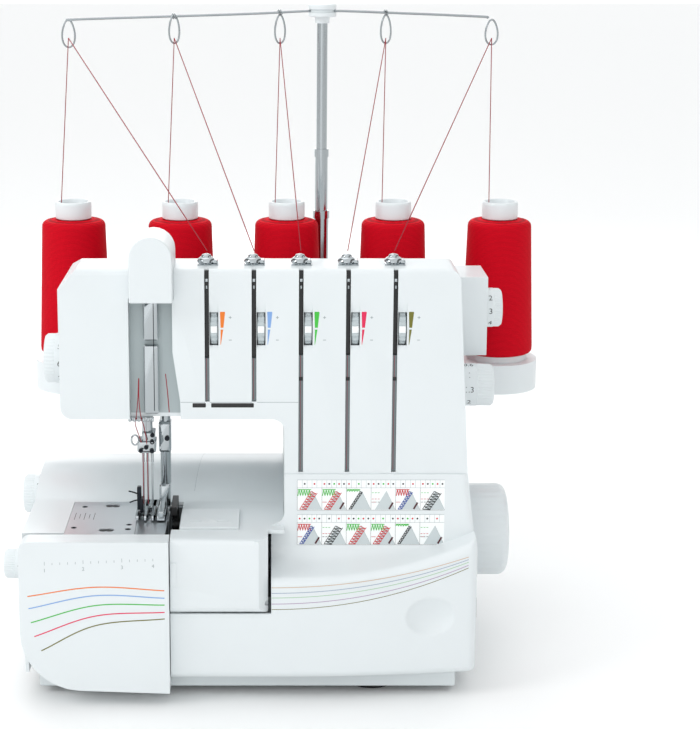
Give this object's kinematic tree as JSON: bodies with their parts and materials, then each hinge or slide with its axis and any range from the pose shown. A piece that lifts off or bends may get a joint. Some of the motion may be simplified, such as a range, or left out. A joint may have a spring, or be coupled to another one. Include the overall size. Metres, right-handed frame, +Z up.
{
  "type": "serger overlock machine",
  "caption": "Domestic overlock machine with a free needle area, tension slots, hinged covers, handwheel and a telescopic thread stand with thread cones.",
  "frame": {"origin": "on the table, under the middle of the machine's overall box", "axes": "+Z up, front of the machine towards -Y, +X to the handwheel side"},
  "size_m": [0.381, 0.26, 0.4462],
  "materials": {
    "white_plastic": "glossy moulded ABS",
    "grey_plastic": "satin moulded ABS",
    "black": "matt moulded nylon",
    "rubber": "matt rubber",
    "casting": "as cast",
    "steel_plate": "ground steel",
    "chrome": "bright nickel plate",
    "lens": "frosted lens",
    "thread": "spun polyester thread"
  },
  "bodies": {
    "root": {"base_pan": "grey_plastic", "rubber_feet": "rubber", "frame_casting": "casting", "head_front_cover": "white_plastic", "head_rear_cover": "white_plastic", "base_front_cover": "white_plastic", "base_rear_cover": "white_plastic", "bed_cover": "white_plastic", "looper_shelf": "white_plastic", "needle_plate": "steel_plate", "needle_plate_insert": "steel_plate", "tension_units": "chrome", "pretension_guides": "chrome", "take_up_cover": "white_plastic", "thread_guides": "steel_plate", "lamp": "lens", "motor": "black", "drive_belt": "rubber", "power_inlet": "black", "spool_tray": "white_plastic", "stand_bracket": "white_plastic", "mast_lower": "chrome", "spool_pins": "steel_plate", "cone_cores": "white_plastic", "cone_windings": "thread", "threads": "thread", "lower_knife": "steel_plate"},
    "drive": {"main_shaft": "steel_plate", "handwheel": "white_plastic", "belt_pulley": "grey_plastic"},
    "motor_rotor": {"motor_pulley": "steel_plate"},
    "needle_unit": {"needle_bar": "chrome", "needle_clamp": "chrome", "needles": "chrome"},
    "take_up": {"take_up_lever": "chrome"},
    "presser": {"presser_bar": "chrome", "presser_foot": "chrome"},
    "lifter": {"presser_lifter": "white_plastic"},
    "looper_rod": {"looper_hinge_rod": "steel_plate"},
    "looper_door": {"looper_cover": "white_plastic"},
    "left_door": {"left_front_cover": "white_plastic"},
    "selector": {"dial_selector": "white_plastic"},
    "differential": {"dial_differential": "white_plastic"},
    "upper_left": {"dial_upper_left": "white_plastic"},
    "stitch_length": {"dial_stitch_length": "white_plastic"},
    "lower_left": {"dial_lower_left": "white_plastic"},
    "switch": {"power_switch": "black"},
    "mast_mid": {"mast_middle": "chrome"},
    "mast_top": {"mast_upper": "chrome", "guide_hub": "white_plastic", "thread_guide_bar": "chrome"},
    "knife": {"upper_knife": "black"},
    "looper_up": {"upper_looper": "chrome"},
    "looper_low": {"lower_looper": "chrome"},
    "feed": {"feed_dogs": "steel_plate"},
    "tension_1": {"thumbwheel_1": "grey_plastic"},
    "tension_2": {"thumbwheel_2": "grey_plastic"},
    "tension_3": {"thumbwheel_3": "grey_plastic"},
    "tension_4": {"thumbwheel_4": "grey_plastic"},
    "tension_5": {"thumbwheel_5": "grey_plastic"}
  },
  "joints": [
    {"name": "handwheel_turn", "type": "hinge", "parent": "root", "child": "drive", "pos_m": [0.14, 0, 0.078], "axis": [1, 0, 0], "continuous": true},
    {"name": "motor_turn", "type": "hinge", "parent": "root", "child": "motor_rotor", "pos_m": [0.08, 0.036, 0.05], "axis": [1, 0, 0], "continuous": true},
    {"name": "needle_bar_slide", "type": "slide", "parent": "root", "child": "needle_unit", "axis": [0, 0, 1], "range_m": [-0.012, 0.012]},
    {"name": "take_up_swing", "type": "hinge", "parent": "root", "child": "take_up", "pos_m": [-0.084, -0.078, 0.274], "axis": [1, 0, 0], "range_deg": [-45, 15]},
    {"name": "presser_slide", "type": "slide", "parent": "root", "child": "presser", "axis": [0, 0, 1], "range_m": [0, 0.0062]},
    {"name": "lifter_turn", "type": "hinge", "parent": "root", "child": "lifter", "pos_m": [-0.108, 0.06, 0.233], "axis": [0, 1, 0], "range_deg": [0, 60]},
    {"name": "looper_door_slide", "type": "slide", "parent": "root", "child": "looper_rod", "axis": [1, 0, 0], "range_m": [0, 0.0018]},
    {"name": "looper_door_hinge", "type": "hinge", "parent": "looper_rod", "child": "looper_door", "pos_m": [-0.049, -0.119, 0.0685], "axis": [1, 0, 0], "range_deg": [0, 90]},
    {"name": "left_door_hinge", "type": "hinge", "parent": "root", "child": "left_door", "pos_m": [-0.172, -0.114, 0.08], "axis": [0, 0, -1], "range_deg": [0, 90]},
    {"name": "selector_turn", "type": "hinge", "parent": "root", "child": "selector", "pos_m": [0.146, 0.022, 0.236], "axis": [1, 0, 0], "range_deg": [-150, 150]},
    {"name": "differential_turn", "type": "hinge", "parent": "root", "child": "differential", "pos_m": [0.13, -0.02, 0.19], "axis": [1, 0, 0], "range_deg": [-130, 130]},
    {"name": "upper_left_turn", "type": "hinge", "parent": "root", "child": "upper_left", "pos_m": [-0.158, -0.04, 0.214], "axis": [1, 0, 0], "range_deg": [-130, 130]},
    {"name": "stitch_length_turn", "type": "hinge", "parent": "root", "child": "stitch_length", "pos_m": [-0.183, 0.02, 0.098], "axis": [1, 0, 0], "range_deg": [-130, 130]},
    {"name": "lower_left_turn", "type": "hinge", "parent": "root", "child": "lower_left", "pos_m": [-0.183, -0.085, 0.083], "axis": [1, 0, 0], "range_deg": [-90, 90]},
    {"name": "tension_1_turn", "type": "hinge", "parent": "root", "child": "tension_1", "pos_m": [-0.0489, -0.078, 0.2455], "axis": [1, 0, 0], "range_deg": [-135, 135]},
    {"name": "tension_2_turn", "type": "hinge", "parent": "root", "child": "tension_2", "pos_m": [-0.0183, -0.078, 0.2455], "axis": [1, 0, 0], "range_deg": [-135, 135]},
    {"name": "tension_3_turn", "type": "hinge", "parent": "root", "child": "tension_3", "pos_m": [0.0123, -0.078, 0.2455], "axis": [1, 0, 0], "range_deg": [-135, 135]},
    {"name": "tension_4_turn", "type": "hinge", "parent": "root", "child": "tension_4", "pos_m": [0.0429, -0.078, 0.2455], "axis": [1, 0, 0], "range_deg": [-135, 135]},
    {"name": "tension_5_turn", "type": "hinge", "parent": "root", "child": "tension_5", "pos_m": [0.0735, -0.078, 0.2455], "axis": [1, 0, 0], "range_deg": [-135, 135]},
    {"name": "power_switch_rock", "type": "hinge", "parent": "root", "child": "switch", "pos_m": [0.119, -0.085, 0.054], "axis": [0, 1, 0], "range_deg": [-6, 6]},
    {"name": "mast_middle_slide", "type": "slide", "parent": "root", "child": "mast_mid", "axis": [0, 0, 1], "range_m": [-0.04, 0], "deforming": ["threads"]},
    {"name": "mast_upper_slide", "type": "slide", "parent": "mast_mid", "child": "mast_top", "axis": [0, 0, 1], "range_m": [-0.06, 0]},
    {"name": "upper_knife_swing", "type": "hinge", "parent": "root", "child": "knife", "pos_m": [-0.077, -0.056, 0.1], "axis": [1, 0, 0], "range_deg": [0, 10]},
    {"name": "upper_looper_swing", "type": "hinge", "parent": "root", "child": "looper_up", "pos_m": [-0.06, -0.0755, 0.06], "axis": [0, 1, 0], "range_deg": [0, 12]},
    {"name": "lower_looper_swing", "type": "hinge", "parent": "root", "child": "looper_low", "pos_m": [-0.128, -0.0685, 0.06], "axis": [0, 1, 0], "range_deg": [0, 12]},
    {"name": "feed_dog_slide", "type": "slide", "parent": "root", "child": "feed", "axis": [0, 1, 0], "range_m": [-0.003, 0]}
  ],
  "couplings": [
    {"joint": "motor_turn", "follows": "handwheel_turn", "ratio": 4.3333},
    {"joint": "presser_slide", "follows": "lifter_turn", "m_per_rad": 0.00573},
    {"joint": "mast_upper_slide", "follows": "mast_middle_slide", "ratio": 1.5}
  ]
}
